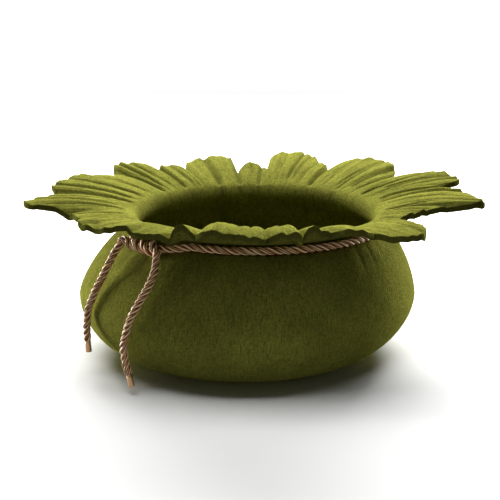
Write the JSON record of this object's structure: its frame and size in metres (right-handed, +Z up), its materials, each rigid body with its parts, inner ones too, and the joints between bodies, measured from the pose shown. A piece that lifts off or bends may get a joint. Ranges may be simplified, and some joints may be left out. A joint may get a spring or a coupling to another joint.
{
  "type": "felt cat cave",
  "caption": "Round thick-felt pet cave with a ruffled petal collar and a twisted cord tied round its neck in a half knot.",
  "frame": {"origin": "middle of the flat base, on the surface it stands on", "axes": "+Z up through the mouth; +X to the right as seen from the front, along the collar's widest way; -Y towards the front, where the cord is tied"},
  "size_m": [0.5423, 0.4965, 0.1998],
  "materials": {
    "felt_green": "matt felt with short fibres",
    "cord_gold": "silky twisted cord",
    "tip_bronze": "satin"
  },
  "bodies": {
    "root": {"felt": "felt_green", "neck_cord": "cord_gold", "tail_left": "cord_gold", "tail_right": "cord_gold", "tip_left": "tip_bronze", "tip_right": "tip_bronze"}
  },
  "joints": []
}
